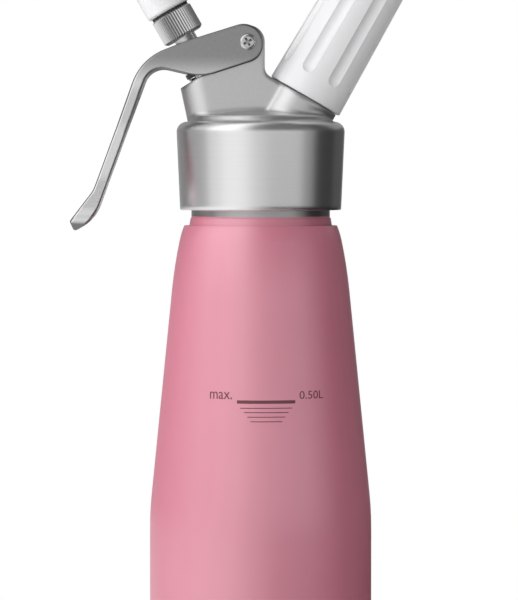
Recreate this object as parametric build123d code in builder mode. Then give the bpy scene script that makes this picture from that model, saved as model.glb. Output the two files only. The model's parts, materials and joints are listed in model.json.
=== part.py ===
from build123d import *
import os
from math import asin, cos, degrees, radians, sin, tan

# Whipped cream dispenser, half a litre: a lacquered aluminium bottle, a cast head that screws onto its
# neck, a squeeze lever that opens the outlet valve, and a holder that presses a gas charger onto a pin.
# Millimetres, +Z up. The origin is on the bottle's axis, on the plane that the bottle stands on. The
# valve leans towards -X and the gas charger towards +X.

# ---------------------------------------------------------------------------------- driving dimensions
running_fit = 0.05              # radial clearance of a shaft or pin in its bore
thread_fit = 0.1                # radial clearance of a screwed pair, drawn without its threads
body_gap = 0.3                  # clearance between pieces that pass each other

# bottle
bottle_r = 40.0
bottle_wall = 1.6
base_edge_r = 8.0
base_ring_w = 4.0               # flat ring that the bottle stands on
base_dome_h = 4.0
bottle_straight_h = 76.0        # the body starts to draw in here
draw_in_r = 130.0
cone_angle = 5.73               # half angle of the bottle's taper
cone_len = 73.4
shoulder_low_r = 170.0
shoulder_low_turn = 6.3
shoulder_top_r = 28.0
shoulder_rise = 5.13            # height of the shoulder's top arc, up to the flat ledge round the neck
step_foot_r = 25.7              # lacquered step round the foot of the neck
step_top_r = 25.25
step_h = 2.7
neck_r = 24.95
neck_bore_r = 22.2
neck_h = 21.4
mouth_edge_r = 0.8

# head: skirt, roof and chamber
gasket_thick = 2.0
gasket_bore_r = 20.6
skirt_lift = 5.6                # from the bottle's ledge to the skirt's lower edge
skirt_bottom_r = 29.0
skirt_top_r = 30.4
skirt_h = 31.5
skirt_edge_r = 3.6
waist_r = 25.8
waist_h = 2.1
waist_drop = 1.9                # foot of the waist, below its rim
waist_foot_r = 1.1
waist_rim_r = 0.9
skirt_foot_r = 0.5
roof_angle = 7.0
body_root = 2.0                 # depth by which the upper body is rooted in the roof
neck_clearance = 0.35
chamber_r = 20.5
chamber_wall_h = 8.0
chamber_rise = 5.5
chamber_top_r = 11.0

# head: upper body
lean_angle = 30.0               # of the valve and of the charger, from the bottle's axis
valve_x = -19.7                 # centre of the valve boss's face
valve_lift = 17.35              # above the skirt's top
charger_x = 15.94               # centre of the charger holder's lower end
charger_lift = 9.3
slab_half_w = 9.0               # the flat-sided middle of the head
slab_reach = 6.5                # the flat sides end this far past the charger's axis
valve_boss_reach = 10.5         # the valve boss's round end, from the valve's axis
charger_boss_r = 13.0
charger_boss_len = 16.0
pivot_along = 18.6              # pivot from the valve's axis, along the valve boss's face
pivot_above = 2.08              # pivot above that face
tower_r = 6.1
tower_fillet_r = 4.0
valve_nose_r = 8.5              # inner end of the valve bore, with the valve seat
valve_nose_depth = 22.0
gas_nose_r = 7.5                # inner end of the gas passage
gas_nose_depth = 13.0
nose_room = 0.6                 # radial room round what sits on either nose
nose_root = 7.0                 # length by which a nose is rooted in the roof
room_depth = 9.0

# outlet valve
stem_r = 4.0
stem_bore_r = 2.6
stem_top = 22.0                 # above the valve boss's face
stem_floor = 0.6                # solid end of the stem's bore
stem_hole_r = 1.3
stem_hole_depth = 19.6
stem_stud_r = 2.2
spring_pocket_r = 7.3
spring_pocket_depth = 13.0
gland_r = 5.6
gland_len = 3.2
outlet_bore_r = 5.0
guide_flange = 1.0
guide_sleeve = 1.0
o_ring_wire_r = 0.75
cap_flange_r = 6.8
cap_flange_gap = 1.4            # flange above the valve boss's face
cap_flange_thick = 1.6
cap_sleeve_r = 5.9
cap_crown = 11.2                # top of the cap, where the lever pushes
cap_crown_round = 2.2           # lets the lever tilt on the cap
spring_wire_r = 0.5
spring_r = 5.9
spring_turns = 5.5
poppet_seal_r = 6.3
poppet_seal_thick = 2.0
poppet_r = 6.5
poppet_len = 4.0
poppet_washer = 1.0             # round face behind the seal

# nozzle
adapter_r = 7.7
adapter_bottom = 15.5           # above the valve boss's face
adapter_len = 9.9
adapter_chamfer = 0.8
adapter_spigot_r = 5.8
adapter_spigot_len = 6.0
adapter_seal_thick = 1.0
nozzle_seal_r = 7.1
nozzle_seal_thick = 0.8
nozzle_collar_r = 8.35
nozzle_collar_len = 10.0
nozzle_collar_round = 1.2
nozzle_shoulder_r = 7.3
nozzle_shoulder_h = 1.5
nozzle_tip_r = 6.0
nozzle_len = 44.0
nozzle_crown_len = 8.0
nozzle_bore_r = 4.8
nozzle_funnel_r = 5.2
nozzle_edge_r = 0.6             # between the collar's flat and its slope
nozzle_waist_r = 1.0
nozzle_flow_r = 6.0             # where the crown begins, inside and outside
nozzle_lip_r = 0.3
nozzle_notches = 8
nozzle_notch_w = 1.9
nozzle_notch_len = 6.5

# charger and its holder
spigot_r = 10.2
spigot_len = 8.8
charger_boss_gap = 0.3          # between the holder and the head
charger_neck_r = 4.3
charger_neck_len = 7.5
charger_r = 8.9
charger_len = 65.5
charger_wall = 1.3
charger_shoulder_len = 8.0
charger_mouth_r = 0.3
charger_throat_r = 3.0
charger_shoulder_r = 6.0
charger_end_flat = 0.1
charger_hole_r = 1.4
holder_r = 14.15
holder_taper = 1.2
holder_len = 72.0
holder_edge_r = 0.6
holder_end_r = 4.0
holder_clearance = 0.4
insert_wall = 1.85
insert_len = 12.0
flute_count = 8
flute_turn = 27.0               # first flute, from the front
flute_w = 5.2
flute_depth = 1.1
flute_start = 7.5
flute_end = 9.0
pin_r = 1.1
pin_bore_r = 0.4
pin_top = 3.8
pin_point_len = 2.2
pin_len = 9.7
pin_holder_len = 7.0
charger_seal_thick = 1.6        # between the pin's carrier and the charger's neck
gas_passage_r = 2.5
check_seat_r = 6.0
check_seat_depth = 2.5
check_disc_thick = 1.4
check_cap_r = 7.4
check_cap_thick = 2.0
check_cap_wall = 0.95
check_hole_r = 0.8
check_hole_ring_r = 3.0
check_hole_count = 4

# lever
cheek_thick = 1.8
cheek_gap = 0.3
web_gap = 0.4                   # between the lever and the spring cap, along the valve's axis
ear_slope = 17.3                # of the lever's top, from the pivot to the valve's axis
top_slope = 21.4                # and from there to the bend
crest_r = 110.0
ear_reach = 5.5                 # ear beyond the pivot
ear_top_r = 7.0
ear_low_r = 6.5
ear_low_drop = 5.6
bridge_end = 5.4                # bridge ends this far from the pivot
bend_along = 17.5               # corner of the bend, beyond the valve's axis
bend_r = 20.0
grip_slope = 20.2               # from the vertical
grip_len = 50.1
grip_depth = 3.85
paddle_slope = 37.4
paddle_len = 13.9
paddle_r = 10.0
tip_slope = 21.4                # end of the paddle, from the vertical
tip_w = 4.0
tip_r = 0.9
heel_slope = 31.0               # underside of the paddle at its tip, from the horizontal
heel_r = 16.0
knuckle_drop = 8.15
knuckle_r = 7.0
dip_along = 16.0
dip_drop = 12.55
dip_r = 18.0
lever_round_r = 0.8             # outer edges of the channel
grip_half_w = 7.8
paddle_half_w = 9.2
paddle_corner_r = 6.5
neck_in_drop = 16.0             # the channel narrows from here, below the pivot
neck_in_len = 14.0
neck_in_r = 30.0
neck_out_rise = 5.0             # it widens again from here, above the paddle's corner
neck_out_len = 12.0
slot_half_w = 4.6
slot_len = 10.6
slot_shift = 0.65               # the lever swings this way past the stem

# pivot
barrel_r = 2.5
barrel_head_r = 3.6
pivot_head_thick = 1.6
pivot_head_round = 1.1
screw_head_r = 2.95
screw_shank_r = 1.5
screw_shank_len = 9.0
recess_w = 0.8
recess_span = 3.2
recess_depth = 1.2
recess_turn = 30.0

# ------------------------------------------------------------------------------------- derived places
lean = radians(lean_angle)
shoulder_start_z = (
    bottle_straight_h
    + draw_in_r * sin(radians(cone_angle))
    + cone_len * cos(radians(cone_angle))
    + shoulder_low_r * (sin(radians(cone_angle + shoulder_low_turn)) - sin(radians(cone_angle)))
)
ledge_z = shoulder_start_z + shoulder_rise
neck_root_z = ledge_z - 2 * bottle_wall
neck_top_z = ledge_z + neck_h
gasket_top_z = neck_top_z + gasket_thick
skirt_bottom_z = ledge_z + skirt_lift
skirt_top_z = skirt_bottom_z + skirt_h
skirt_bore_r = neck_r + neck_clearance

valve = Plane(
    origin=(valve_x, 0, skirt_top_z + valve_lift),
    x_dir=(cos(lean), 0, sin(lean)),
    z_dir=(-sin(lean), 0, cos(lean)),
)
charger = Plane(
    origin=(charger_x, 0, skirt_top_z + charger_lift),
    x_dir=(cos(lean), 0, -sin(lean)),
    z_dir=(sin(lean), 0, cos(lean)),
)
pivot = valve.from_local_coords(Vector(pivot_along, 0, pivot_above))
tower_right_x = pivot.X + tower_r
cheek_in_y = slab_half_w + cheek_gap
cheek_out_y = cheek_in_y + cheek_thick
pivot_seat = Plane(origin=(pivot.X, 0, pivot.Z), x_dir=(1, 0, 0), z_dir=(0, -1, 0))
valve_axis = Axis(valve.origin, valve.z_dir)
charger_axis = Axis(charger.origin, charger.z_dir)
charger_bottom = charger_seal_thick
charger_neck_bore_r = charger_neck_r + body_gap
carrier_r = charger_neck_bore_r - running_fit
check_floor = check_seat_depth - gas_nose_depth
insert_r = spigot_r + thread_fit + insert_wall
taper = radians(holder_taper)


# --------------------------------------------------------------------------------------------- helpers
def section(seat):
    """The plane through a leaning axis in which a turned piece's profile is drawn as (radius, height)."""
    return Plane(origin=seat.origin, x_dir=seat.x_dir, z_dir=-seat.y_dir)


def turn(profile, seat):
    """Revolve a profile drawn on section(seat) about the seat's axis."""
    revolve(profile.sketch, axis=Axis(seat.origin, seat.z_dir))


def round_length(seat, low, high, outer_r, inner_r=0.0, mode=Mode.ADD):
    """Add or cut a round length, solid or hollow, between two heights on a seat's axis."""
    with BuildSketch(seat.offset(low)) as ring:
        Circle(outer_r)
        if inner_r > 0:
            Circle(inner_r, mode=Mode.SUBTRACT)
    extrude(ring.sketch, amount=high - low, mode=mode)


def spoke(seat, height, angle):
    """A plane at a height on a seat's axis, facing outwards at an angle about it, with x along the axis."""
    outward = seat.x_dir.rotate(Axis((0, 0, 0), seat.z_dir), angle)
    return Plane(origin=seat.origin + seat.z_dir * height, x_dir=seat.z_dir, z_dir=outward)


def parallel_corner(before, corner, after, distance):
    """The corner that results when both lines meeting there move left of the travel by distance."""
    along_in = (corner - before).normalized()
    along_out = (after - corner).normalized()
    left_in = Vector(-along_in.Y, along_in.X)
    left_out = Vector(-along_out.Y, along_out.X)
    return corner + (left_in + left_out) * (distance / (1 + left_in.dot(left_out)))


def crossing(point, direction, other_point, other_direction):
    """Where two lines in a plane cross, each given by a point and a direction."""
    gap = other_point - point
    turn_in = direction.X * other_direction.Y - direction.Y * other_direction.X
    along = (gap.X * other_direction.Y - gap.Y * other_direction.X) / turn_in
    return point + direction * along


def save(piece, name):
    """Label a finished piece and write its STEP file."""
    piece.part.label = name
    export_step(piece.part, f"parts/{name}.step")


os.makedirs("parts", exist_ok=True)


# ---------------------------------------------------------------------------------------------- bottle
def bottle_profile(inset):
    """Half outline of the bottle below its neck, drawn in by inset all round."""
    ring_in_r = bottle_r - base_edge_r - base_ring_w
    with BuildLine() as outline:
        dome = TangentArc((0, base_dome_h + inset), (ring_in_r, inset), tangent=(1, 0))
        ring = Line(dome @ 1, (bottle_r - base_edge_r, inset))
        edge = JernArc(ring @ 1, (1, 0), base_edge_r - inset, 90)
        side = Line(edge @ 1, (bottle_r - inset, bottle_straight_h))
        draw_in = JernArc(side @ 1, (0, 1), draw_in_r - inset, cone_angle)
        cone = PolarLine(draw_in @ 1, cone_len, direction=draw_in % 1)
        low = JernArc(cone @ 1, cone % 1, shoulder_low_r - inset, shoulder_low_turn)
        low_angle = cone_angle + shoulder_low_turn
        top_turn = degrees(asin(sin(radians(low_angle)) + shoulder_rise / shoulder_top_r)) - low_angle
        top = JernArc(low @ 1, low % 1, shoulder_top_r - inset, top_turn)
        Polyline(top @ 1, (0, (top @ 1).Y), dome @ 0)
    return outline.line


with BuildPart() as bottle:
    with BuildSketch(Plane.XZ):
        make_face(bottle_profile(0))
    revolve(axis=Axis.Z)
    with BuildSketch(Plane.XZ):
        make_face(bottle_profile(bottle_wall))
    revolve(axis=Axis.Z, mode=Mode.SUBTRACT)
    with BuildSketch(Plane.XZ):
        with BuildLine():
            Polyline(
                (neck_bore_r, neck_root_z),
                (step_foot_r + bottle_wall, neck_root_z),
                (step_foot_r + bottle_wall / 2, ledge_z),
                (step_foot_r, ledge_z),
                (step_top_r, ledge_z + step_h),
                (neck_r, ledge_z + step_h),
                (neck_r, neck_top_z),
                (neck_bore_r, neck_top_z),
                close=True,
            )
        make_face()
    revolve(axis=Axis.Z)
    round_length(Plane.XY, neck_root_z - bottle_wall, neck_top_z, neck_bore_r, mode=Mode.SUBTRACT)
    mouth = bottle.faces().sort_by(Axis.Z)[-1].edges().sort_by(SortBy.RADIUS)
    fillet(mouth[0], mouth_edge_r)
save(bottle, "bottle")

with BuildPart() as head_gasket:
    round_length(Plane.XY, neck_top_z, gasket_top_z, neck_r - body_gap, gasket_bore_r)
save(head_gasket, "head_gasket")

# ------------------------------------------------------------------------------------------------ head
charger_face = charger.offset(-charger_boss_gap)
roof_top_z = skirt_top_z + waist_h + waist_r * tan(radians(roof_angle))
charger_face_x = charger_face.origin.X
charger_face_z = charger_face.origin.Z


def on_valve(along, above):
    """A point of the head's side view, from its place along and above the valve boss's face."""
    place = valve.from_local_coords(Vector(along, 0, above))
    return (place.X, place.Z)


def on_charger(along, above):
    """A point of the head's side view, from its place along and above the holder's lower end."""
    place = charger.from_local_coords(Vector(along, 0, above))
    return (place.X, place.Z)


with BuildPart() as head:
    # skirt and roof
    with BuildSketch(Plane.XZ):
        with BuildLine():
            FilletPolyline(
                (0, skirt_bottom_z),
                (skirt_bottom_r, skirt_bottom_z),
                (skirt_top_r, skirt_top_z),
                (waist_r, skirt_top_z + waist_h - waist_drop),
                (waist_r, skirt_top_z + waist_h),
                (0, roof_top_z),
                radius=[0, skirt_foot_r, skirt_edge_r, waist_foot_r, waist_rim_r, 0],
                close=True,
            )
        make_face()
    revolve(axis=Axis.Z)

    # flat-sided middle, with the tower that carries the lever
    corner_z = charger_face_z + (charger_face_x - tower_right_x) * tan(lean)
    with BuildSketch(Plane.XZ):
        with BuildLine():
            Polyline(
                (2 * slab_half_w - waist_r, skirt_top_z - body_root),
                on_valve(0, 0),
                on_valve(pivot_along - tower_r, 0),
                on_valve(pivot_along - tower_r, pivot_above),
                (pivot.X, pivot.Z),
                (tower_right_x, pivot.Z),
                (tower_right_x, corner_z),
                on_charger(slab_reach, -charger_boss_gap),
                (charger_x, skirt_top_z - body_root),
                close=True,
            )
        make_face()
        with Locations((pivot.X, pivot.Z)):
            Circle(tower_r)
        inner_corner = vertices().sort_by_distance((tower_right_x, corner_z))[0]
        fillet(inner_corner, tower_fillet_r)
    extrude(amount=slab_half_w, both=True)

    # valve boss, a round end of the flat-sided middle that leans out of the roof
    boss_core = slab_half_w / 2
    with BuildSketch(Plane.XY.offset(skirt_top_z - body_root)):
        with Locations((boss_core + slab_half_w - waist_r, 0)):
            SlotCenterToCenter(2 * boss_core, 2 * slab_half_w)
    with BuildSketch(valve):
        with Locations((boss_core + slab_half_w - valve_boss_reach, 0)):
            SlotCenterToCenter(2 * boss_core, 2 * slab_half_w)
    loft()

    # charger boss
    round_length(charger, -charger_boss_len, -charger_boss_gap, charger_boss_r)

    # chamber under the roof, with the two noses that reach into it
    with BuildSketch(Plane.XZ):
        with BuildLine():
            Polyline(
                (0, skirt_bottom_z - body_gap),
                (skirt_bore_r, skirt_bottom_z - body_gap),
                (skirt_bore_r, gasket_top_z),
                (chamber_r, gasket_top_z),
                (chamber_r, gasket_top_z + chamber_wall_h),
                (chamber_top_r, gasket_top_z + chamber_wall_h + chamber_rise),
                (0, gasket_top_z + chamber_wall_h + chamber_rise),
                close=True,
            )
        make_face()
    revolve(axis=Axis.Z, mode=Mode.SUBTRACT)
    round_length(valve, -valve_nose_depth, -spring_pocket_depth + nose_root, valve_nose_r)
    round_length(charger, -gas_nose_depth, -gas_nose_depth + nose_root, gas_nose_r)
    poppet_room_r = valve_nose_r + nose_room
    check_room_r = check_cap_r + nose_room
    round_length(valve, -valve_nose_depth - room_depth, -valve_nose_depth, poppet_room_r, mode=Mode.SUBTRACT)
    round_length(charger, -gas_nose_depth - room_depth, -gas_nose_depth, check_room_r, mode=Mode.SUBTRACT)

    # outlet valve's bore: spring pocket, gland and outlet
    round_length(valve, -spring_pocket_depth, cap_crown, spring_pocket_r, mode=Mode.SUBTRACT)
    round_length(valve, -spring_pocket_depth - gland_len, 0, gland_r, mode=Mode.SUBTRACT)
    round_length(valve, -valve_nose_depth, 0, outlet_bore_r, mode=Mode.SUBTRACT)

    # threaded spigot for the charger holder, with the charger's neck bore and the gas passage
    round_length(charger, -charger_boss_gap, spigot_len, spigot_r)
    round_length(charger, -pin_holder_len, spigot_len, charger_neck_bore_r, mode=Mode.SUBTRACT)
    round_length(charger, -gas_nose_depth, 0, gas_passage_r, mode=Mode.SUBTRACT)
    round_length(charger, -gas_nose_depth, check_floor, check_seat_r, mode=Mode.SUBTRACT)

    # cross bore for the lever's pivot
    round_length(pivot_seat, -slab_half_w, slab_half_w, barrel_r + running_fit, mode=Mode.SUBTRACT)
save(head, "head")

# ---------------------------------------------------------------------------------------- outlet valve
stem_foot = -valve_nose_depth
poppet_top = stem_foot - poppet_seal_thick

with BuildPart() as valve_stem:
    round_length(valve, stem_foot, stem_top, stem_r)
    round_length(valve, poppet_top - poppet_len, stem_foot, stem_stud_r)
    bore_floor = stem_foot + stem_floor
    round_length(valve, bore_floor, stem_top, stem_bore_r, mode=Mode.SUBTRACT)
    for angle in (0, 90):
        with BuildSketch(spoke(valve, -stem_hole_depth, angle)) as cross_hole:
            Circle(stem_hole_r)
        extrude(cross_hole.sketch, amount=2 * stem_r, both=True, mode=Mode.SUBTRACT)
save(valve_stem, "valve_stem")

with BuildPart() as spring_cap:
    round_length(valve, cap_flange_gap, cap_flange_gap + cap_flange_thick, cap_flange_r)
    round_length(valve, cap_flange_gap, cap_crown, cap_sleeve_r)
    crown_edge = spring_cap.edges().filter_by(GeomType.CIRCLE).sort_by(valve_axis)[-1]
    fillet(crown_edge, cap_crown_round)
    round_length(valve, 0, cap_crown, stem_r + running_fit, mode=Mode.SUBTRACT)
save(spring_cap, "spring_cap")

guide_foot = -spring_pocket_depth
guide_top = guide_foot + guide_flange
with BuildPart() as valve_guide:
    round_length(valve, guide_foot, guide_top, spring_pocket_r - body_gap)
    round_length(valve, guide_foot - guide_sleeve, guide_top, gland_r - running_fit)
    round_length(valve, guide_foot - guide_sleeve, guide_top, stem_r + running_fit, mode=Mode.SUBTRACT)
save(valve_guide, "valve_guide")

with BuildPart() as valve_spring:
    spring_low = guide_top + spring_wire_r
    spring_rise = cap_flange_gap - spring_wire_r - spring_low
    coil_foot = valve.offset(spring_low).origin
    with BuildLine() as coil:
        Helix(spring_rise / spring_turns, spring_rise, spring_r, coil_foot, valve.z_dir)
    with BuildSketch(Plane(origin=coil.line @ 0, z_dir=coil.line % 0)):
        Circle(spring_wire_r)
    sweep(path=coil.line, is_frenet=True)
save(valve_spring, "valve_spring")

with BuildPart() as stem_o_ring:
    with BuildSketch(section(valve)) as o_ring_wire:
        with Locations(((stem_r + gland_r) / 2, guide_foot - guide_sleeve - o_ring_wire_r)):
            Circle(o_ring_wire_r)
    turn(o_ring_wire, valve)
save(stem_o_ring, "stem_o_ring")

with BuildPart() as poppet_seal:
    round_length(valve, poppet_top, stem_foot, poppet_seal_r, stem_stud_r + running_fit)
save(poppet_seal, "poppet_seal")

with BuildPart() as valve_poppet:
    with BuildSketch(valve.offset(poppet_top - poppet_len)) as nut_flats:
        RegularPolygon(poppet_r, 6)
    extrude(nut_flats.sketch, amount=poppet_len - poppet_washer)
    round_length(valve, poppet_top - poppet_washer, poppet_top, poppet_r)
    round_length(valve, poppet_top - poppet_len, poppet_top, stem_stud_r + running_fit, mode=Mode.SUBTRACT)
save(valve_poppet, "valve_poppet")

# ---------------------------------------------------------------------------------------------- nozzle
adapter_top = adapter_bottom + adapter_len
adapter_outlet = adapter_top + adapter_spigot_len
stem_end = stem_top + adapter_seal_thick
collar_bottom = adapter_top + nozzle_seal_thick
collar_top = collar_bottom + nozzle_collar_len
nozzle_tip = collar_bottom + nozzle_len
crown_foot = nozzle_tip - nozzle_crown_len
socket_r = adapter_spigot_r + thread_fit
socket_top = adapter_outlet + body_gap

with BuildPart() as nozzle_adapter:
    round_length(valve, adapter_bottom, adapter_top, adapter_r)
    chamfer(nozzle_adapter.edges().filter_by(GeomType.CIRCLE), adapter_chamfer)
    round_length(valve, adapter_top, adapter_outlet, adapter_spigot_r)
    round_length(valve, adapter_bottom, stem_end, stem_r + running_fit, mode=Mode.SUBTRACT)
    round_length(valve, stem_end, adapter_outlet, stem_bore_r, mode=Mode.SUBTRACT)
save(nozzle_adapter, "nozzle_adapter")

with BuildPart() as adapter_seal:
    round_length(valve, stem_top, stem_end, stem_r, stem_bore_r)
save(adapter_seal, "adapter_seal")

with BuildPart() as nozzle_seal:
    round_length(valve, adapter_top, collar_bottom, nozzle_seal_r, socket_r)
save(nozzle_seal, "nozzle_seal")

with BuildPart() as nozzle:
    with BuildSketch(section(valve)) as nozzle_wall:
        with BuildLine():
            FilletPolyline(
                (socket_r, collar_bottom),
                (nozzle_collar_r, collar_bottom),
                (nozzle_collar_r, collar_top),
                (nozzle_shoulder_r, collar_top + nozzle_shoulder_h),
                (nozzle_tip_r, crown_foot),
                (nozzle_tip_r, nozzle_tip),
                (nozzle_bore_r, nozzle_tip),
                (nozzle_bore_r, crown_foot),
                (nozzle_funnel_r, socket_top),
                (socket_r, socket_top),
                radius=[
                    0,
                    nozzle_collar_round,
                    nozzle_edge_r,
                    nozzle_waist_r,
                    nozzle_flow_r,
                    nozzle_lip_r,
                    nozzle_lip_r,
                    nozzle_flow_r,
                    0,
                    0,
                ],
                close=True,
            )
        make_face()
    turn(nozzle_wall, valve)
    for notch in range(nozzle_notches):
        with BuildSketch(spoke(valve, nozzle_tip, 360 / nozzle_notches * notch)) as tooth_gap:
            Polygon(
                (nozzle_notch_w, -nozzle_notch_w),
                (nozzle_notch_w, nozzle_notch_w),
                (-nozzle_notch_len, 0),
                align=None,
            )
        extrude(tooth_gap.sketch, amount=nozzle_collar_r, mode=Mode.SUBTRACT)
save(nozzle, "nozzle")

# ---------------------------------------------------------------------------- gas charger and its valve
def charger_profile(inset):
    """Half outline of the gas charger, drawn in by inset all round."""
    with BuildLine() as outline:
        FilletPolyline(
            (0, charger_bottom + inset),
            (charger_neck_r - inset, charger_bottom + inset),
            (charger_neck_r - inset, charger_bottom + charger_neck_len),
            (charger_r - inset, charger_bottom + charger_neck_len + charger_shoulder_len),
            (charger_r - inset, charger_top - inset),
            (0, charger_top - inset),
            radius=[
                0,
                charger_mouth_r,
                charger_throat_r + inset,
                charger_shoulder_r - inset,
                charger_r - inset - charger_end_flat,
                0,
            ],
            close=True,
        )
    return outline.line


charger_top = charger_bottom + charger_len
with BuildPart() as gas_charger:
    with BuildSketch(section(charger)) as charger_body:
        make_face(charger_profile(0))
    turn(charger_body, charger)
    with BuildSketch(section(charger)) as charger_hollow:
        make_face(charger_profile(charger_wall))
    revolve(charger_hollow.sketch, axis=charger_axis, mode=Mode.SUBTRACT)
    hole_top = charger_bottom + charger_wall + body_gap
    round_length(charger, charger_bottom, hole_top, charger_hole_r, mode=Mode.SUBTRACT)
save(gas_charger, "gas_charger")

with BuildPart() as charger_holder:
    with BuildSketch(section(charger)) as holder_wall:
        with BuildLine():
            FilletPolyline(
                (0, 0),
                (holder_r, 0),
                (holder_r - holder_len * tan(taper), holder_len),
                (0, holder_len),
                radius=[0, holder_edge_r, holder_end_r, 0],
                close=True,
            )
        make_face()
    turn(holder_wall, charger)
    holder_bore_r = charger_r + holder_clearance
    dome_centre = charger_top + holder_clearance - holder_bore_r
    round_length(charger, 0, insert_len, insert_r + running_fit, mode=Mode.SUBTRACT)
    round_length(charger, 0, dome_centre, holder_bore_r, mode=Mode.SUBTRACT)
    with Locations(charger.offset(dome_centre)):
        Sphere(holder_bore_r, mode=Mode.SUBTRACT)
    # hollow flutes along the tapered wall, with round ends
    groove_r = (flute_w**2 / 4 + flute_depth**2) / (2 * flute_depth)
    groove_low = flute_start + flute_w / 2
    groove_len = (holder_len - flute_start - flute_end - flute_w) / cos(taper)
    for flute in range(flute_count):
        outward = spoke(charger, groove_low, flute_turn + 360 / flute_count * flute).z_dir
        wall_normal = outward * cos(taper) + charger.z_dir * sin(taper)
        wall_line = charger.z_dir * cos(taper) - outward * sin(taper)
        groove_foot = charger.origin + charger.z_dir * groove_low
        groove_foot += outward * (holder_r - groove_low * tan(taper))
        groove_foot += wall_normal * (groove_r - flute_depth)
        groove = Plane(origin=groove_foot, z_dir=wall_line)
        round_length(groove, 0, groove_len, groove_r, mode=Mode.SUBTRACT)
        with Locations(groove, groove.offset(groove_len)):
            Sphere(groove_r, mode=Mode.SUBTRACT)
save(charger_holder, "charger_holder")

with BuildPart() as charger_holder_insert:
    round_length(charger, 0, insert_len, insert_r, spigot_r + thread_fit)
save(charger_holder_insert, "charger_holder_insert")

with BuildPart() as piercing_pin:
    with BuildSketch(section(charger)) as pin_wall:
        with BuildLine():
            Polyline(
                (pin_bore_r, pin_top),
                (pin_r, pin_top - pin_point_len),
                (pin_r, pin_top - pin_len),
                (pin_bore_r, pin_top - pin_len),
                close=True,
            )
        make_face()
    turn(pin_wall, charger)
save(piercing_pin, "piercing_pin")

with BuildPart() as pin_holder:
    round_length(charger, -pin_holder_len, 0, carrier_r, pin_r + running_fit)
save(pin_holder, "pin_holder")

with BuildPart() as charger_seal:
    round_length(charger, 0, charger_bottom, carrier_r, charger_hole_r)
save(charger_seal, "charger_seal")

with BuildPart() as check_valve_rubber:
    disc_r = check_seat_r - running_fit - check_cap_wall - body_gap
    round_length(charger, check_floor - check_disc_thick, check_floor, disc_r)
save(check_valve_rubber, "check_valve_rubber")

with BuildPart() as check_valve_cap:
    nose_end = -gas_nose_depth
    sleeve_r = check_seat_r - running_fit
    round_length(charger, nose_end - check_cap_thick, nose_end, check_cap_r)
    round_length(charger, nose_end, check_floor - running_fit, sleeve_r, sleeve_r - check_cap_wall)
    with BuildSketch(charger.offset(nose_end - check_cap_thick)) as gas_holes:
        with PolarLocations(check_hole_ring_r, check_hole_count):
            Circle(check_hole_r)
    extrude(gas_holes.sketch, amount=check_cap_thick, mode=Mode.SUBTRACT)
save(check_valve_cap, "check_valve_cap")

# ----------------------------------------------------------------------------------------------- lever
# The lever is a pressed channel, open towards the bottle. Its side view is drawn in X and Z, from the
# ear over the bridge and round the bend to the grip and the paddle, and back along the open side.
pivot_point = Vector(pivot.X, pivot.Z)
ear_dir = Vector(cos(radians(ear_slope)), sin(radians(ear_slope)))
top_dir = Vector(-cos(radians(top_slope)), -sin(radians(top_slope)))
grip_dir = Vector(-sin(radians(grip_slope)), -cos(radians(grip_slope)))
paddle_dir = Vector(-sin(radians(paddle_slope)), -cos(radians(paddle_slope)))
grip_side = Vector(-grip_dir.Y, grip_dir.X)
tip_dir = Vector(sin(radians(tip_slope)), -cos(radians(tip_slope)))
heel_dir = Vector(cos(radians(heel_slope)), sin(radians(heel_slope)))
ear_x = pivot.X + ear_reach
crest_place = valve.from_local_coords(Vector(0, 0, cap_crown + web_gap + cheek_thick))
crest = Vector(crest_place.X, crest_place.Z)
ear_top = crest + ear_dir * ((ear_x - crest.X) / ear_dir.X)
bend = crest + top_dir * bend_along
paddle = bend + grip_dir * grip_len
tip = paddle + paddle_dir * paddle_len
tip_inner = tip + tip_dir * tip_w
heel = crossing(tip_inner, heel_dir, bend + grip_side * grip_depth, grip_dir)
knuckle_place = Vector(0, pivot.Z - knuckle_drop)
knuckle = crossing(knuckle_place, Vector(1, 0), bend + grip_side * grip_depth, grip_dir)
dip = pivot_point - Vector(dip_along, dip_drop)
ear_low = Vector(ear_x, pivot.Z - ear_low_drop)
far = 2 * bottle_r


def lever_front(inset):
    """Front view of the lever, in Y and Z, drawn in by inset at its sides and its end."""
    ear_w = cheek_out_y - inset
    grip_w = grip_half_w - inset
    paddle_w = paddle_half_w - inset
    end_z = tip_inner.Y + inset
    right = [
        (ear_w, pivot.Z + far),
        (ear_w, pivot.Z - neck_in_drop),
        (grip_w, pivot.Z - neck_in_drop - neck_in_len),
        (grip_w, paddle.Y + neck_out_rise),
        (paddle_w, paddle.Y + neck_out_rise - neck_out_len),
        (paddle_w, end_z),
    ]
    left = [(-y, z) for y, z in reversed(right)]
    half_radii = [0, neck_in_r, neck_in_r, neck_in_r, neck_in_r / 2, paddle_corner_r - inset]
    with BuildSketch(Plane.YZ) as view:
        with BuildLine():
            FilletPolyline(*right, *left, radius=half_radii + half_radii[::-1], close=True)
        make_face()
    return view.sketch


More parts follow.
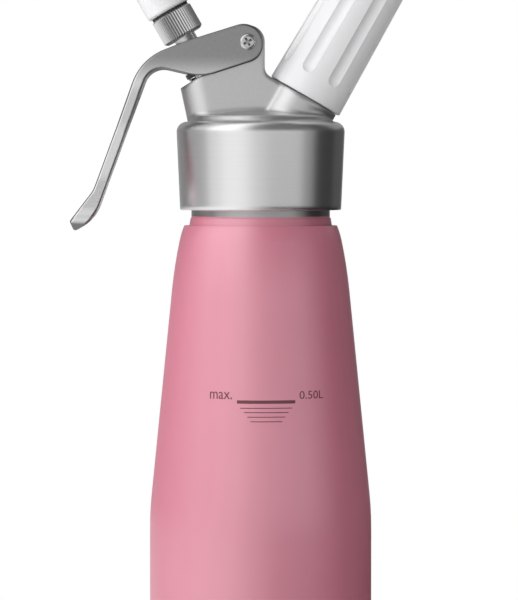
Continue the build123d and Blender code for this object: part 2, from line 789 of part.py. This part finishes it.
with BuildPart() as lever_hollow:
    bridge_x = pivot.X - bridge_end
    hollow_crest = parallel_corner(ear_top, crest, bend, cheek_thick)
    hollow_tip = parallel_corner(paddle, tip, tip_inner, cheek_thick)
    with BuildSketch(Plane.XZ):
        with BuildLine():
            FilletPolyline(
                (bridge_x, pivot.Z + far),
                hollow_crest + ear_dir * ((bridge_x - hollow_crest.X) / ear_dir.X),
                hollow_crest,
                parallel_corner(crest, bend, paddle, cheek_thick),
                parallel_corner(bend, paddle, tip, cheek_thick),
                hollow_tip,
                hollow_tip + tip_dir * far,
                (pivot.X + far, pivot.Z - far),
                (pivot.X + far, pivot.Z + far),
                radius=[
                    0,
                    0,
                    crest_r - cheek_thick,
                    bend_r - cheek_thick,
                    paddle_r + cheek_thick,
                    tip_r,
                    0,
                    0,
                    0,
                ],
                close=True,
            )
        make_face()
    extrude(amount=cheek_out_y, both=True)
    extrude(lever_front(cheek_thick), amount=2 * far, both=True, mode=Mode.INTERSECT)

with BuildPart() as lever:
    with BuildSketch(Plane.XZ):
        with BuildLine():
            FilletPolyline(
                ear_top,
                crest,
                bend,
                paddle,
                tip,
                tip_inner,
                heel,
                knuckle,
                dip,
                ear_low,
                radius=[
                    ear_top_r,
                    crest_r,
                    bend_r,
                    paddle_r,
                    tip_r,
                    tip_r,
                    heel_r,
                    knuckle_r,
                    dip_r,
                    ear_low_r,
                ],
                close=True,
            )
        make_face()
    extrude(amount=cheek_out_y, both=True)
    extrude(lever_front(0), amount=2 * far, both=True, mode=Mode.INTERSECT)
    straight_across = lever.edges().filter_by(Axis.Y) + lever.edges().filter_by(Axis.X)
    fillet(lever.edges() - straight_across, lever_round_r)
    add(lever_hollow.part, mode=Mode.SUBTRACT)
    with BuildSketch(valve) as slot:
        with Locations((slot_shift, 0)):
            SlotOverall(slot_len, 2 * slot_half_w)
    extrude(slot.sketch, amount=adapter_bottom, mode=Mode.SUBTRACT)
    round_length(pivot_seat, -cheek_out_y, cheek_out_y, barrel_r + running_fit, mode=Mode.SUBTRACT)
save(lever, "lever")

# ----------------------------------------------------------------------------------------------- pivot
with BuildPart() as pivot_barrel:
    round_length(pivot_seat, -cheek_out_y - pivot_head_thick, -cheek_out_y, barrel_head_r)
    fillet(pivot_barrel.edges().sort_by(Axis.Y)[-1], pivot_head_round)
    round_length(pivot_seat, -cheek_out_y, cheek_out_y, barrel_r)
    screw_hole_r = screw_shank_r + running_fit
    screw_foot = cheek_out_y - screw_shank_len
    round_length(pivot_seat, screw_foot - body_gap, cheek_out_y, screw_hole_r, mode=Mode.SUBTRACT)
save(pivot_barrel, "pivot_barrel")

with BuildPart() as pivot_screw:
    screw_top = cheek_out_y + pivot_head_thick
    round_length(pivot_seat, cheek_out_y, screw_top, screw_head_r)
    fillet(pivot_screw.edges().sort_by(Axis.Y)[0], pivot_head_round)
    with BuildSketch(pivot_seat.offset(screw_top - recess_depth)) as recess:
        Rectangle(recess_span, recess_w, rotation=recess_turn)
        Rectangle(recess_w, recess_span, rotation=recess_turn)
    extrude(recess.sketch, amount=pivot_head_thick, mode=Mode.SUBTRACT)
    round_length(pivot_seat, screw_foot, cheek_out_y, screw_shank_r)
save(pivot_screw, "pivot_screw")
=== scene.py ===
import json
from math import cos, pi, radians, sin, tan

import bmesh
import bpy
from mathutils import Matrix, Vector

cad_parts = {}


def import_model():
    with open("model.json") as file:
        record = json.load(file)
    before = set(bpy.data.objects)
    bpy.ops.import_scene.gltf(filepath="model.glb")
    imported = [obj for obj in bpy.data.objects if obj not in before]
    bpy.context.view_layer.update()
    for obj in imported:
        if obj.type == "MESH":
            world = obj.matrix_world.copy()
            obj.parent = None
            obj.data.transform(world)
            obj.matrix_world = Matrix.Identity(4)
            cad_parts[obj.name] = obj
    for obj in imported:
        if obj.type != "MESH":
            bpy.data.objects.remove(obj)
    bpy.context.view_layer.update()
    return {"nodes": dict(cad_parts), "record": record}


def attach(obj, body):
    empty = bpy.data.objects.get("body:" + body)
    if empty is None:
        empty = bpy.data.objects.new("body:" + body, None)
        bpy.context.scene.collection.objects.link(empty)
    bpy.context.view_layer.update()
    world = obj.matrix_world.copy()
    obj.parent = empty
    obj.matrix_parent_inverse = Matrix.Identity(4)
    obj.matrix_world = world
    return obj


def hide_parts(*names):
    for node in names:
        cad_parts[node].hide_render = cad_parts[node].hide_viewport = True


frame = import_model()
nodes = frame["nodes"]

MM = 0.001

# the leaning axis of the valve, as in the part's source
LEAN = radians(30.0)
VALVE_FOOT = Vector((-19.7, 0, 240.052)) * MM
VALVE_UP = Vector((-sin(LEAN), 0, cos(LEAN)))
VALVE_SIDE = Vector((cos(LEAN), 0, sin(LEAN)))

LACQUER_TOP = 188.95 * MM         # the bottle's neck is bare above this
SKIRT_TOP = 221.8 * MM            # the head is blasted above this and turned below

INK_TOP = 0.03                    # mm by which the printing stands proud of the lacquer
INK_ROOT = -0.05                  # mm to which it is sunk into it

# What the object reflects all round: (from azimuth, to azimuth, brightness below it, beside it, overhead).
# Azimuth 0 is the camera's side, + is to its right.
SURROUND = [
    (-180, -150, 0.70, 0.34, 0.34),
    (-150, -105, 0.80, 0.24, 0.34),
    (-105, -78, 1.00, 0.36, 0.65),
    (-78, -55, 1.10, 0.74, 1.40),
    (-55, -35, 1.10, 0.95, 1.45),
    (-35, -20, 0.95, 0.98, 1.10),
    (-20, -10, 0.75, 0.88, 0.42),
    (-10, 8, 0.45, 0.75, 0.20),
    (8, 60, 0.06, 0.68, 0.16),
    (60, 78, 0.02, 0.34, 0.18),
    (78, 120, 0.02, 0.04, 0.08),
    (120, 160, 0.02, 0.09, 0.30),
    (160, 180, 0.20, 0.40, 0.45),
]


# ------------------------------------------------------------------------------------------ camera, light
def camera():
    """The photograph's view: nearly level, from about 1.2 m."""
    elevation = radians(2.2)
    distance = 1.2022
    target = Vector((-0.0006, 0, 0.1587))
    data = bpy.data.cameras.new("camera")
    data.lens = 200
    data.sensor_width = 36
    eye = bpy.data.objects.new("camera", data)
    eye.location = target + Vector((0, -cos(elevation), sin(elevation))) * distance
    eye.rotation_euler = (pi / 2 - elevation, 0, 0)
    bpy.context.scene.collection.objects.link(eye)
    bpy.context.scene.camera = eye


def softbox(name, azimuth, elevation, distance, size, power):
    """A square area lamp aimed at the middle of the object, placed by azimuth as SURROUND is."""
    aim = Vector((0, 0, 0.17))
    a = radians(azimuth)
    e = radians(elevation)
    data = bpy.data.lights.new(name, "AREA")
    data.shape = "SQUARE"
    data.size = size
    data.energy = power
    lamp = bpy.data.objects.new(name, data)
    lamp.location = aim + Vector((sin(a) * cos(e), -cos(a) * cos(e), sin(e))) * distance
    lamp.rotation_euler = (aim - lamp.location).to_track_quat("-Z", "Y").to_euler()
    lamp.visible_glossy = False
    bpy.context.scene.collection.objects.link(lamp)


def strip(name, start, end, path, level):
    """A strip of studio wall that only reflections see, of one plain brightness. path is (radius, height)."""
    across = 6
    bm = bmesh.new()
    rows = []
    for radius, height in path:
        line = []
        for step in range(across + 1):
            a = radians(start + (end - start) * step / across)
            line.append(bm.verts.new((sin(a) * radius, -cos(a) * radius, height)))
        rows.append(line)
    for low, high in zip(rows, rows[1:]):
        for step in range(across):
            bm.faces.new((low[step], low[step + 1], high[step + 1], high[step]))
    mesh = bpy.data.meshes.new(name)
    bm.to_mesh(mesh)
    bm.free()
    mat = bpy.data.materials.new(name)
    mat.use_nodes = True
    tree = mat.node_tree
    tree.nodes.clear()
    glow = tree.nodes.new("ShaderNodeEmission")
    glow.inputs["Color"].default_value = (level, level, level, 1)
    out = tree.nodes.new("ShaderNodeOutputMaterial")
    tree.links.new(glow.outputs[0], out.inputs["Surface"])
    mesh.materials.append(mat)
    obj = bpy.data.objects.new(name, mesh)
    bpy.context.scene.collection.objects.link(obj)
    obj.visible_camera = False
    obj.visible_diffuse = False
    obj.visible_shadow = False
    obj.visible_transmission = False


def surround():
    """The studio round the object, as it reflects it: the table, a round wall and a round roof."""
    radius = 0.95
    table_start = 0.12
    table_height = 0.001
    wall_top = radians(24)
    roof_top = radians(85)
    wall_rows = 4
    roof_rows = 8
    table = [(table_start, table_height), (radius, table_height)]
    wall_rise = [wall_top * step / wall_rows for step in range(wall_rows + 1)]
    roof_rise = [wall_top + (roof_top - wall_top) * step / roof_rows for step in range(roof_rows + 1)]
    wall = [(radius * cos(e), radius * sin(e)) for e in wall_rise]
    roof = [(radius * cos(e), radius * sin(e)) for e in roof_rise]
    for number, (start, end, below, beside, overhead) in enumerate(SURROUND):
        strip(f"table_{number}", start, end, table, below)
        strip(f"wall_{number}", start, end, wall, beside)
        strip(f"roof_{number}", start, end, roof, overhead)


def lighting():
    """Soft light from the left and the front, and a surround that shapes what the metal reflects."""
    softbox("light_left", -86, 20, 1.3, 1.0, 10.2)
    softbox("light_front", -24, 28, 1.4, 0.9, 9.8)
    surround()


def background_ray(tree):
    """1 for a ray that should see the plain background: from the camera, a reflection or through glass."""
    path = tree.nodes.new("ShaderNodeLightPath")
    seen = tree.nodes.new("ShaderNodeMath")
    seen.operation = "MAXIMUM"
    tree.links.new(path.outputs["Is Camera Ray"], seen.inputs[0])
    tree.links.new(path.outputs["Is Glossy Ray"], seen.inputs[1])
    through = tree.nodes.new("ShaderNodeMath")
    through.operation = "MAXIMUM"
    tree.links.new(seen.outputs[0], through.inputs[0])
    tree.links.new(path.outputs["Is Transmission Ray"], through.inputs[1])
    return through.outputs[0]


def world():
    """White to the camera and in reflections, and a plain even light on the object."""
    light_on_object = 0.4
    plain_white = 1.0
    studio = bpy.data.worlds.new("studio")
    bpy.context.scene.world = studio
    studio.use_nodes = True
    tree = studio.node_tree
    tree.nodes.clear()
    strength = tree.nodes.new("ShaderNodeMapRange")
    strength.inputs["To Min"].default_value = light_on_object
    strength.inputs["To Max"].default_value = plain_white
    tree.links.new(background_ray(tree), strength.inputs["Value"])
    sky = tree.nodes.new("ShaderNodeBackground")
    sky.inputs["Color"].default_value = (1, 1, 1, 1)
    tree.links.new(strength.outputs[0], sky.inputs["Strength"])
    out = tree.nodes.new("ShaderNodeOutputWorld")
    tree.links.new(sky.outputs[0], out.inputs["Surface"])


def floor():
    """A plain pale floor that reads as the white background and still takes a soft shadow."""
    half_size = 12
    pale = 0.9
    shadow_ends = 0.12
    white_starts = 0.38
    least_white = 0.8
    bm = bmesh.new()
    bmesh.ops.create_grid(bm, x_segments=1, y_segments=1, size=half_size)
    mesh = bpy.data.meshes.new("floor")
    bm.to_mesh(mesh)
    bm.free()
    mat = bpy.data.materials.new("floor")
    mat.use_nodes = True
    tree = mat.node_tree
    shader = tree.nodes["Principled BSDF"]
    shader.inputs["Base Color"].default_value = (pale, pale, pale, 1)
    shader.inputs["Roughness"].default_value = 0.9
    shader.inputs["Specular IOR Level"].default_value = 0.0
    white = tree.nodes.new("ShaderNodeEmission")
    coords = tree.nodes.new("ShaderNodeTexCoord")
    away = tree.nodes.new("ShaderNodeVectorMath")
    away.operation = "LENGTH"
    tree.links.new(coords.outputs["Object"], away.inputs[0])
    share = tree.nodes.new("ShaderNodeMapRange")
    share.interpolation_type = "SMOOTHSTEP"
    share.inputs["From Min"].default_value = shadow_ends
    share.inputs["From Max"].default_value = white_starts
    share.inputs["To Min"].default_value = least_white
    tree.links.new(away.outputs["Value"], share.inputs["Value"])
    seen = tree.nodes.new("ShaderNodeMath")
    seen.operation = "MULTIPLY"
    tree.links.new(share.outputs[0], seen.inputs[0])
    tree.links.new(background_ray(tree), seen.inputs[1])
    mix = tree.nodes.new("ShaderNodeMixShader")
    tree.links.new(seen.outputs[0], mix.inputs["Fac"])
    tree.links.new(shader.outputs[0], mix.inputs[1])
    tree.links.new(white.outputs[0], mix.inputs[2])
    tree.links.new(mix.outputs[0], tree.nodes["Material Output"].inputs["Surface"])
    mesh.materials.append(mat)
    obj = bpy.data.objects.new("floor", mesh)
    bpy.context.scene.collection.objects.link(obj)


# --------------------------------------------------------------------------------------------- materials
class Maker:
    """A new node material, with short calls for the nodes that the finishes below share."""

    def __init__(self, name, roughness, metallic=0.0):
        self.mat = bpy.data.materials.new(name)
        self.mat.use_nodes = True
        self.tree = self.mat.node_tree
        self.shader = self.tree.nodes["Principled BSDF"]
        self.shader.inputs["Metallic"].default_value = metallic
        self.shader.inputs["Roughness"].default_value = roughness
        self.coords = self.tree.nodes.new("ShaderNodeTexCoord")

    def node(self, kind, **values):
        made = self.tree.nodes.new("ShaderNode" + kind)
        for key, value in values.items():
            setattr(made, key, value)
        return made

    def link(self, output, target):
        self.tree.links.new(output, target)

    def place(self, scale=(1, 1, 1)):
        """The object's own coordinates, stretched by scale."""
        mapping = self.node("Mapping")
        mapping.inputs["Scale"].default_value = scale
        self.link(self.coords.outputs["Object"], mapping.inputs["Vector"])
        return mapping.outputs["Vector"]

    def noise(self, vector, scale, detail=2.0):
        made = self.node("TexNoise")
        made.inputs["Scale"].default_value = scale
        made.inputs["Detail"].default_value = detail
        self.link(vector, made.inputs["Vector"])
        return made.outputs["Fac"]

    def ramp(self, value, low, high, at=(0.3, 0.7)):
        """A value from 0 to 1 turned into a colour between low and high."""
        made = self.node("ValToRGB")
        made.color_ramp.elements[0].position = at[0]
        made.color_ramp.elements[0].color = (*low, 1)
        made.color_ramp.elements[1].position = at[1]
        made.color_ramp.elements[1].color = (*high, 1)
        self.link(value, made.inputs["Fac"])
        return made.outputs["Color"]

    def span(self, value, low, high):
        """A value from 0 to 1 turned into one from low to high."""
        made = self.node("MapRange")
        made.inputs["To Min"].default_value = low
        made.inputs["To Max"].default_value = high
        self.link(value, made.inputs["Value"])
        return made.outputs["Result"]

    def rise(self, low, high):
        """0 below one height of the object and 1 above another, with a soft change between them."""
        split = self.node("SeparateXYZ")
        self.link(self.coords.outputs["Object"], split.inputs[0])
        return self.step(split.outputs["Z"], low, high)

    def blend(self, share, first, second, kind="RGBA"):
        """first where share is 0 and second where it is 1."""
        made = self.node("Mix", data_type=kind)
        self.link(share, made.inputs["Factor"])
        self.link(first, made.inputs["A"])
        self.link(second, made.inputs["B"])
        return made.outputs["Result"]

    def step(self, value, low, high, upward=True):
        """0 below one value and 1 above another, or the other way round, with a soft change between them."""
        made = self.node("MapRange", interpolation_type="SMOOTHSTEP")
        made.inputs["From Min"].default_value = low
        made.inputs["From Max"].default_value = high
        made.inputs["To Min"].default_value = 0.0 if upward else 1.0
        made.inputs["To Max"].default_value = 1.0 if upward else 0.0
        self.link(value, made.inputs["Value"])
        return made.outputs["Result"]

    def darken(self, color, dark, share):
        """dark where share is 0 and color where it is 1."""
        made = self.node("Mix", data_type="RGBA")
        self.link(share, made.inputs["Factor"])
        made.inputs["A"].default_value = (*dark, 1)
        self.link(color, made.inputs["B"])
        return made.outputs["Result"]

    def open_share(self, depth):
        """1 on open surface, falling to 0 where the piece's own walls stand closer than depth: the mask for
        painted shade in recesses.
        """
        near = self.node("AmbientOcclusion", samples=8, only_local=True)
        near.inputs["Distance"].default_value = depth
        return self.step(near.outputs["AO"], 0.3, 0.95)

    def flat_share(self):
        """1 on the flats and the rim of a plate square to Y, and 0 on the rounding between them."""
        split = self.node("SeparateXYZ")
        self.link(self.coords.outputs["Normal"], split.inputs[0])
        across = self.node("Math", operation="ABSOLUTE")
        self.link(split.outputs["Y"], across.inputs[0])
        either = self.node("Math", operation="MAXIMUM")
        self.link(self.step(across.outputs[0], 0.80, 0.97), either.inputs[0])
        self.link(self.step(across.outputs[0], 0.05, 0.20, upward=False), either.inputs[1])
        return either.outputs[0]

    def add_share(self, first, share, second):
        """first, plus a share of second."""
        made = self.node("Math", operation="MULTIPLY_ADD")
        self.link(second, made.inputs[0])
        made.inputs[1].default_value = share
        self.link(first, made.inputs[2])
        return made.outputs[0]

    def bump(self, height, strength, distance, edge_r=0.0):
        """Fine relief, over edges that look rounded by edge_r."""
        made = self.node("Bump")
        made.inputs["Strength"].default_value = strength
        made.inputs["Distance"].default_value = distance
        self.link(height, made.inputs["Height"])
        if edge_r:
            rounded = self.node("Bevel", samples=8)
            rounded.inputs["Radius"].default_value = edge_r
            self.link(rounded.outputs["Normal"], made.inputs["Normal"])
        return made.outputs["Normal"]

    def set(self, **inputs):
        names = {"color": "Base Color", "rough": "Roughness", "normal": "Normal", "metal": "Metallic"}
        for key, output in inputs.items():
            self.link(output, self.shader.inputs[names[key]])


def grey(level):
    return (level, level, level)


def satin_metal(name, light, rough, grain_scale=900, groove=1.2 * MM, painted_shade_level=0.10):
    """Bare metal: fine grain in colour, roughness and height, and painted shade in its grooves and recesses.
    """
    make = Maker(name, rough, metallic=1.0)
    grain = make.noise(make.place(), grain_scale, 3)
    cloud = make.noise(make.place(), 45, 2)
    tone = make.add_share(grain, 0.35, cloud)
    unshaded_tone = make.ramp(tone, grey(light * 0.95), grey(light), at=(0.45, 0.9))
    make.set(
        # painted shade: the colour falls to the shade level where the piece's own walls close in
        color=make.darken(unshaded_tone, grey(painted_shade_level), make.open_share(groove)),
        rough=make.span(grain, rough - 0.05, rough + 0.05),
        normal=make.bump(grain, 0.03, 0.2 * MM),
    )
    return make.mat


def lacquer_finish():
    """Pink satin lacquer with a soft pearl, and the bare aluminium neck above it."""
    make = Maker("lacquer", 0.42)
    fine = make.noise(make.place(), 1400, 2)
    cloud = make.noise(make.place(), 30, 2)
    pink = make.ramp(cloud, (0.566, 0.153, 0.228), (0.586, 0.163, 0.240))
    turned = make.noise(make.place((30, 30, 3000)), 1, 2)
    metal = make.ramp(turned, grey(0.42), grey(0.48))
    soft_edge = 0.02 * MM
    bare = make.rise(LACQUER_TOP - soft_edge, LACQUER_TOP + soft_edge)
    make.set(
        color=make.blend(bare, pink, metal),
        rough=make.blend(bare, make.span(fine, 0.30, 0.36), make.span(turned, 0.24, 0.34), "FLOAT"),
        metal=bare,
        normal=make.bump(fine, 0.04, 0.1 * MM),
    )
    make.shader.inputs["IOR"].default_value = 1.95
    make.shader.inputs["Specular IOR Level"].default_value = 0.88
    return make.mat


def head_finish():
    """Cast aluminium, turned with fine lines round the skirt and blasted above it."""
    make = Maker("head_metal", 0.34, metallic=1.0)
    lines = make.noise(make.place((14, 14, 2200)), 1, 3)
    blast = make.noise(make.place(), 1500, 2)
    cloud = make.noise(make.place(), 40, 2)
    above = make.rise(SKIRT_TOP, SKIRT_TOP + MM)
    grain = make.blend(above, lines, blast, "FLOAT")
    tone = make.add_share(grain, 0.3, cloud)
    turned_color = make.ramp(tone, grey(0.80), grey(0.83))
    blasted_color = make.ramp(tone, grey(0.69), grey(0.73))
    make.set(
        color=make.blend(above, turned_color, blasted_color),
        rough=make.blend(above, make.span(lines, 0.27, 0.31), make.span(blast, 0.34, 0.42), "FLOAT"),
        normal=make.bump(grain, 0.012, 0.2 * MM, edge_r=2.5 * MM),
    )
    return make.mat


def lever_finish():
    """Pressed aluminium: matt grey cheeks darkened by painted shade, a brighter handle from a painted
    highlight, and darker rounded edges from a painted reflection.
    """
    make = Maker("lever_metal", 0.3, metallic=1.0)
    grain = make.noise(make.place((1, 3, 1)), 900, 3)
    cloud = make.noise(make.place(), 45, 2)
    tone = make.add_share(grain, 0.35, cloud)
    # painted highlight on the handle below and painted shade on the cheeks above: one metal in a lit and a
    # shaded copy, switched by height
    grip_painted_highlight = make.ramp(tone, grey(0.86), grey(0.89), at=(0.45, 0.9))
    cheek_painted_shade = make.ramp(tone, grey(0.37), grey(0.41), at=(0.45, 0.9))
    up = make.rise(236 * MM, 247 * MM)
    make.set(
        # painted reflection: where flat_share falls to 0 on the rounded edges, the colour turns dark grey
        color=make.darken(make.blend(up, grip_painted_highlight, cheek_painted_shade), grey(0.20), make.flat_share()),
        rough=make.blend(up, make.span(grain, 0.28, 0.33), make.span(grain, 0.33, 0.39), "FLOAT"),
        normal=make.bump(grain, 0.010, 0.2 * MM),
    )
    return make.mat


def plastic(name, low, high, rough, scale=60, bump=0.03):
    """Moulded plastic: faint colour drift, a fine skin and a little unevenness in its gloss."""
    make = Maker(name, rough)
    drift = make.noise(make.place(), scale, 3)
    skin = make.noise(make.place(), 1600, 2)
    make.set(
        color=make.ramp(drift, low, high),
        rough=make.span(skin, rough - 0.03, rough + 0.04),
        normal=make.bump(drift, bump, 0.4 * MM),
    )
    return make.mat


def rubber(name, low, high):
    """Moulded rubber: matt, with a fine bloom."""
    make = Maker(name, 0.7)
    bloom = make.noise(make.place(), 500, 4)
    make.set(
        color=make.ramp(bloom, low, high),
        rough=make.span(bloom, 0.6, 0.8),
        normal=make.bump(bloom, 0.1, 0.2 * MM),
    )
    return make.mat


def brass_finish():
    """Turned brass with tool lines and a little tarnish."""
    make = Maker("brass", 0.3, metallic=1.0)
    lines = make.noise(make.place((40, 40, 2400)), 1, 3)
    make.set(
        color=make.ramp(lines, (0.70, 0.50, 0.22), (0.80, 0.62, 0.32)),
        rough=make.span(lines, 0.24, 0.38),
        normal=make.bump(lines, 0.05, 0.2 * MM),
    )
    return make.mat


def ink_finish():
    """Screen-printed dark maroon ink."""
    make = Maker("ink", 0.45)
    speck = make.noise(make.place(), 2200, 3)
    make.set(
        color=make.ramp(speck, (0.115, 0.030, 0.042), (0.145, 0.042, 0.056)),
        rough=make.span(speck, 0.38, 0.52),
    )
    return make.mat


def materials():
    """The finish of each slot in the record."""
    white = ((0.71, 0.71, 0.72), (0.74, 0.74, 0.75))
    return {
        "lacquer": lacquer_finish(),
        "head_metal": head_finish(),
        "lever_metal": lever_finish(),
        # the adapter's last two numbers set the painted shade in its knurl grooves: shallower and paler than
        # on the other metals
        "adapter_metal": satin_metal("adapter_metal", 0.68, 0.30, groove=0.5 * MM, painted_shade_level=0.20),
        "steel": satin_metal("steel", 0.66, 0.24),
        "charger_steel": satin_metal("charger_steel", 0.62, 0.20, grain_scale=500),
        "white_plastic": plastic("white_plastic", *white, 0.30, scale=25, bump=0.01),
        "dark_plastic": plastic("dark_plastic", (0.030, 0.030, 0.032), (0.050, 0.050, 0.053), 0.42),
        "guide_plastic": plastic("guide_plastic", (0.70, 0.70, 0.68), (0.78, 0.78, 0.76), 0.45),
        "black_rubber": rubber("black_rubber", (0.018, 0.018, 0.019), (0.034, 0.034, 0.035)),
        "clear_rubber": rubber("clear_rubber", (0.60, 0.58, 0.55), (0.70, 0.68, 0.65)),
        "brass": brass_finish(),
    }


# ------------------------------------------------------------------------------------------------ pieces
def shown(name, bm, finish, smooth_angle=35):
    """Link a finished bmesh as an object, smooth except at edges sharper than smooth_angle."""
    bmesh.ops.recalc_face_normals(bm, faces=bm.faces)
    for face in bm.faces:
        face.smooth = True
    for edge in bm.edges:
        edge.smooth = edge.calc_face_angle(0) < radians(smooth_angle)
    mesh = bpy.data.meshes.new(name)
    bm.to_mesh(mesh)
    bm.free()
    mesh.materials.append(finish)
    obj = bpy.data.objects.new(name, mesh)
    bpy.context.scene.collection.objects.link(obj)
    return obj


def seat_matrix(foot, side, up):
    """Local x, y, z on a leaning axis to the row frame."""
    across = up.cross(side)
    turn = Matrix((side, across, up)).transposed().to_4x4()
    return Matrix.Translation(foot) @ turn


VALVE_SEAT = seat_matrix(VALVE_FOOT, VALVE_SIDE, VALVE_UP)


def lathe(profile, segments, seat, depth=lambda point, angle: 0.0):
    """A closed turned mesh from a closed ring of (radius, height) in mm. depth is cut from each radius."""
    bm = bmesh.new()
    rings = []
    for point in profile:
        ring = []
        for step in range(segments):
            angle = 2 * pi * step / segments
            r = (point[0] - depth(point, angle)) * MM
            ring.append(bm.verts.new(seat @ Vector((r * cos(angle), r * sin(angle), point[1] * MM))))
        rings.append(ring)
    for ring, following in zip(rings, rings[1:] + rings[:1]):
        for step in range(segments):
            after = (step + 1) % segments
            bm.faces.new((ring[step], ring[after], following[after], following[step]))
    return bm


def knurled_nut(finish):
    """The nozzle adapter with its straight knurl and the plain spigot that carries the nozzle."""
    ridges = 48
    points_per_ridge = 6
    crest_r = 7.7
    knurl_depth = 0.42
    stem_hole_r = 4.05
    stem_hole_top = 23.0
    bore_r = 2.6
    spigot_r = 5.8
    nut_foot = 15.5
    nut_top = 25.4
    spigot_top = 31.4
    profile = [
        (stem_hole_r, nut_foot),
        (6.7, nut_foot),
        (crest_r, 16.3),
        (crest_r, 24.7),
        (6.9, nut_top),
        (spigot_r, nut_top),
        (spigot_r, 31.0),
        (5.4, spigot_top),
        (bore_r, spigot_top),
        (bore_r, stem_hole_top),
        (stem_hole_r, stem_hole_top),
    ]

    def grooves(point, angle):
        if point[0] < crest_r:
            return 0.0
        phase = angle / (2 * pi) * ridges % 1
        return knurl_depth * abs(2 * phase - 1)

    turned = lathe(profile, ridges * points_per_ridge, VALVE_SEAT, grooves)
    nut = shown("knurled_adapter", turned, finish, smooth_angle=28)
    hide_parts("nozzle_adapter")
    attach(nut, "valve")


def cone_r(z):
    """Radius of the bottle's taper at height z, in mm, where the fill mark is printed."""
    foot_r = 39.35
    foot_z = 88.98
    half_angle = radians(5.73)
    return foot_r - (z - foot_z) * tan(half_angle)


def print_on_bottle(flat_point, lift):
    """Wrap a flat point (across, height) in mm onto the front of the bottle."""
    across, z = flat_point
    r = cone_r(z) + lift
    angle = across / r
    return Vector((r * sin(angle), -r * cos(angle), z)) * MM


def printed_bar(bm, middle, z, width, height):
    """One bar of the fill mark, as a thin closed band on the surface."""
    steps = 16
    low = z - height / 2
    high = z + height / 2
    rows = []
    for step in range(steps + 1):
        across = middle + width * (step / steps - 0.5)
        corners = [(low, INK_TOP), (high, INK_TOP), (high, INK_ROOT), (low, INK_ROOT)]
        rows.append([bm.verts.new(print_on_bottle((across, level), lift)) for level, lift in corners])
    for row, following in zip(rows, rows[1:]):
        for side in range(4):
            after = (side + 1) % 4
            bm.faces.new((row[side], row[after], following[after], following[side]))
    bm.faces.new(rows[0])
    bm.faces.new(rows[-1])


def printed_word(bm, text, left, right, bottom, height):
    """A word in plain sans letters, fitted between two places and laid on the surface."""
    curve = bpy.data.curves.new("word", "FONT")
    curve.body = text
    curve.extrude = 0.5
    curve.resolution_u = 6
    obj = bpy.data.objects.new("word", curve)
    bpy.context.scene.collection.objects.link(obj)
    mesh = bpy.data.meshes.new_from_object(obj.evaluated_get(bpy.context.evaluated_depsgraph_get()))
    upward = height / max(v.co.y for v in mesh.vertices)
    first = min(v.co.x for v in mesh.vertices)
    last = max(v.co.x for v in mesh.vertices)
    across = (right - left) / (last - first)
    for vert in mesh.vertices:
        lift = INK_TOP if vert.co.z > 0 else INK_ROOT
        flat = (left + (vert.co.x - first) * across, bottom + vert.co.y * upward)
        vert.co = print_on_bottle(flat, lift)
    bm.from_mesh(mesh)
    bpy.data.objects.remove(obj)
    bpy.data.curves.remove(curve)
    bpy.data.meshes.remove(mesh)


def fill_mark(finish):
    """The printed filling scale: a thick line, four thinner ones below it, and plain lettering."""
    bm = bmesh.new()
    middle = 1.99
    full_level = 124.25
    thick_bar = 1.15
    thin_bar = 0.28
    letters_z = 125.2
    printed_bar(bm, middle, full_level, 20.8, thick_bar)
    for z, width in ((122.1, 18.5), (120.6, 15.8), (119.0, 13.4), (117.4, 11.3)):
        printed_bar(bm, middle, z, width, thin_bar)
    printed_word(bm, "max.", left=-18.7, right=-10.2, bottom=letters_z, height=2.5)
    printed_word(bm, "0.50L", left=14.0, right=23.7, bottom=letters_z, height=2.75)
    mark = shown("fill_mark", bm, finish)
    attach(mark, "bottle")


def neck_thread(finish):
    """The thread ridge round the bottle's neck, inside the room that the head leaves there."""
    root_r = 24.9
    crest_r = 25.22
    pitch = 4.0
    low = 191.5
    high = 205.0
    half_w = 0.85
    crest_half_w = 0.25
    sunk_r = root_r - 0.2
    per_turn = 96
    run_in_steps = 24
    count = int((high - low) / pitch * per_turn)
    bm = bmesh.new()
    rows = []
    for step in range(count + 1):
        angle = 2 * pi * step / per_turn
        z = low + pitch * step / per_turn
        run_in = min(1.0, step / run_in_steps, (count - step) / run_in_steps)
        top = root_r + (crest_r - root_r) * run_in
        section = [
            (sunk_r, -half_w),
            (root_r, -half_w),
            (top, -crest_half_w),
            (top, crest_half_w),
            (root_r, half_w),
            (sunk_r, half_w),
        ]
        row = [Vector((r * cos(angle), r * sin(angle), z + up)) * MM for r, up in section]
        rows.append([bm.verts.new(point) for point in row])
    for row, following in zip(rows, rows[1:]):
        for side in range(len(row)):
            after = (side + 1) % len(row)
            bm.faces.new((row[side], row[after], following[after], following[side]))
    bm.faces.new(rows[0])
    bm.faces.new(rows[-1])
    thread = shown("neck_thread", bm, finish)
    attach(thread, "bottle")


# ------------------------------------------------------------------------------------------------- scene
def dress():
    """Give every CAD node the finish of its slot in the record."""
    finishes = materials()
    for row in frame["record"]["subparts"]:
        node = nodes[row["node"]]
        finish = finishes[row["material_slot"]]
        if node.material_slots:
            node.material_slots[0].material = finish
        else:
            node.data.materials.append(finish)
    return finishes


bpy.context.scene.view_settings.view_transform = "Standard"
camera()
world()
floor()
lighting()
finishes = dress()
knurled_nut(finishes["adapter_metal"])
fill_mark(ink_finish())
neck_thread(finishes["adapter_metal"])
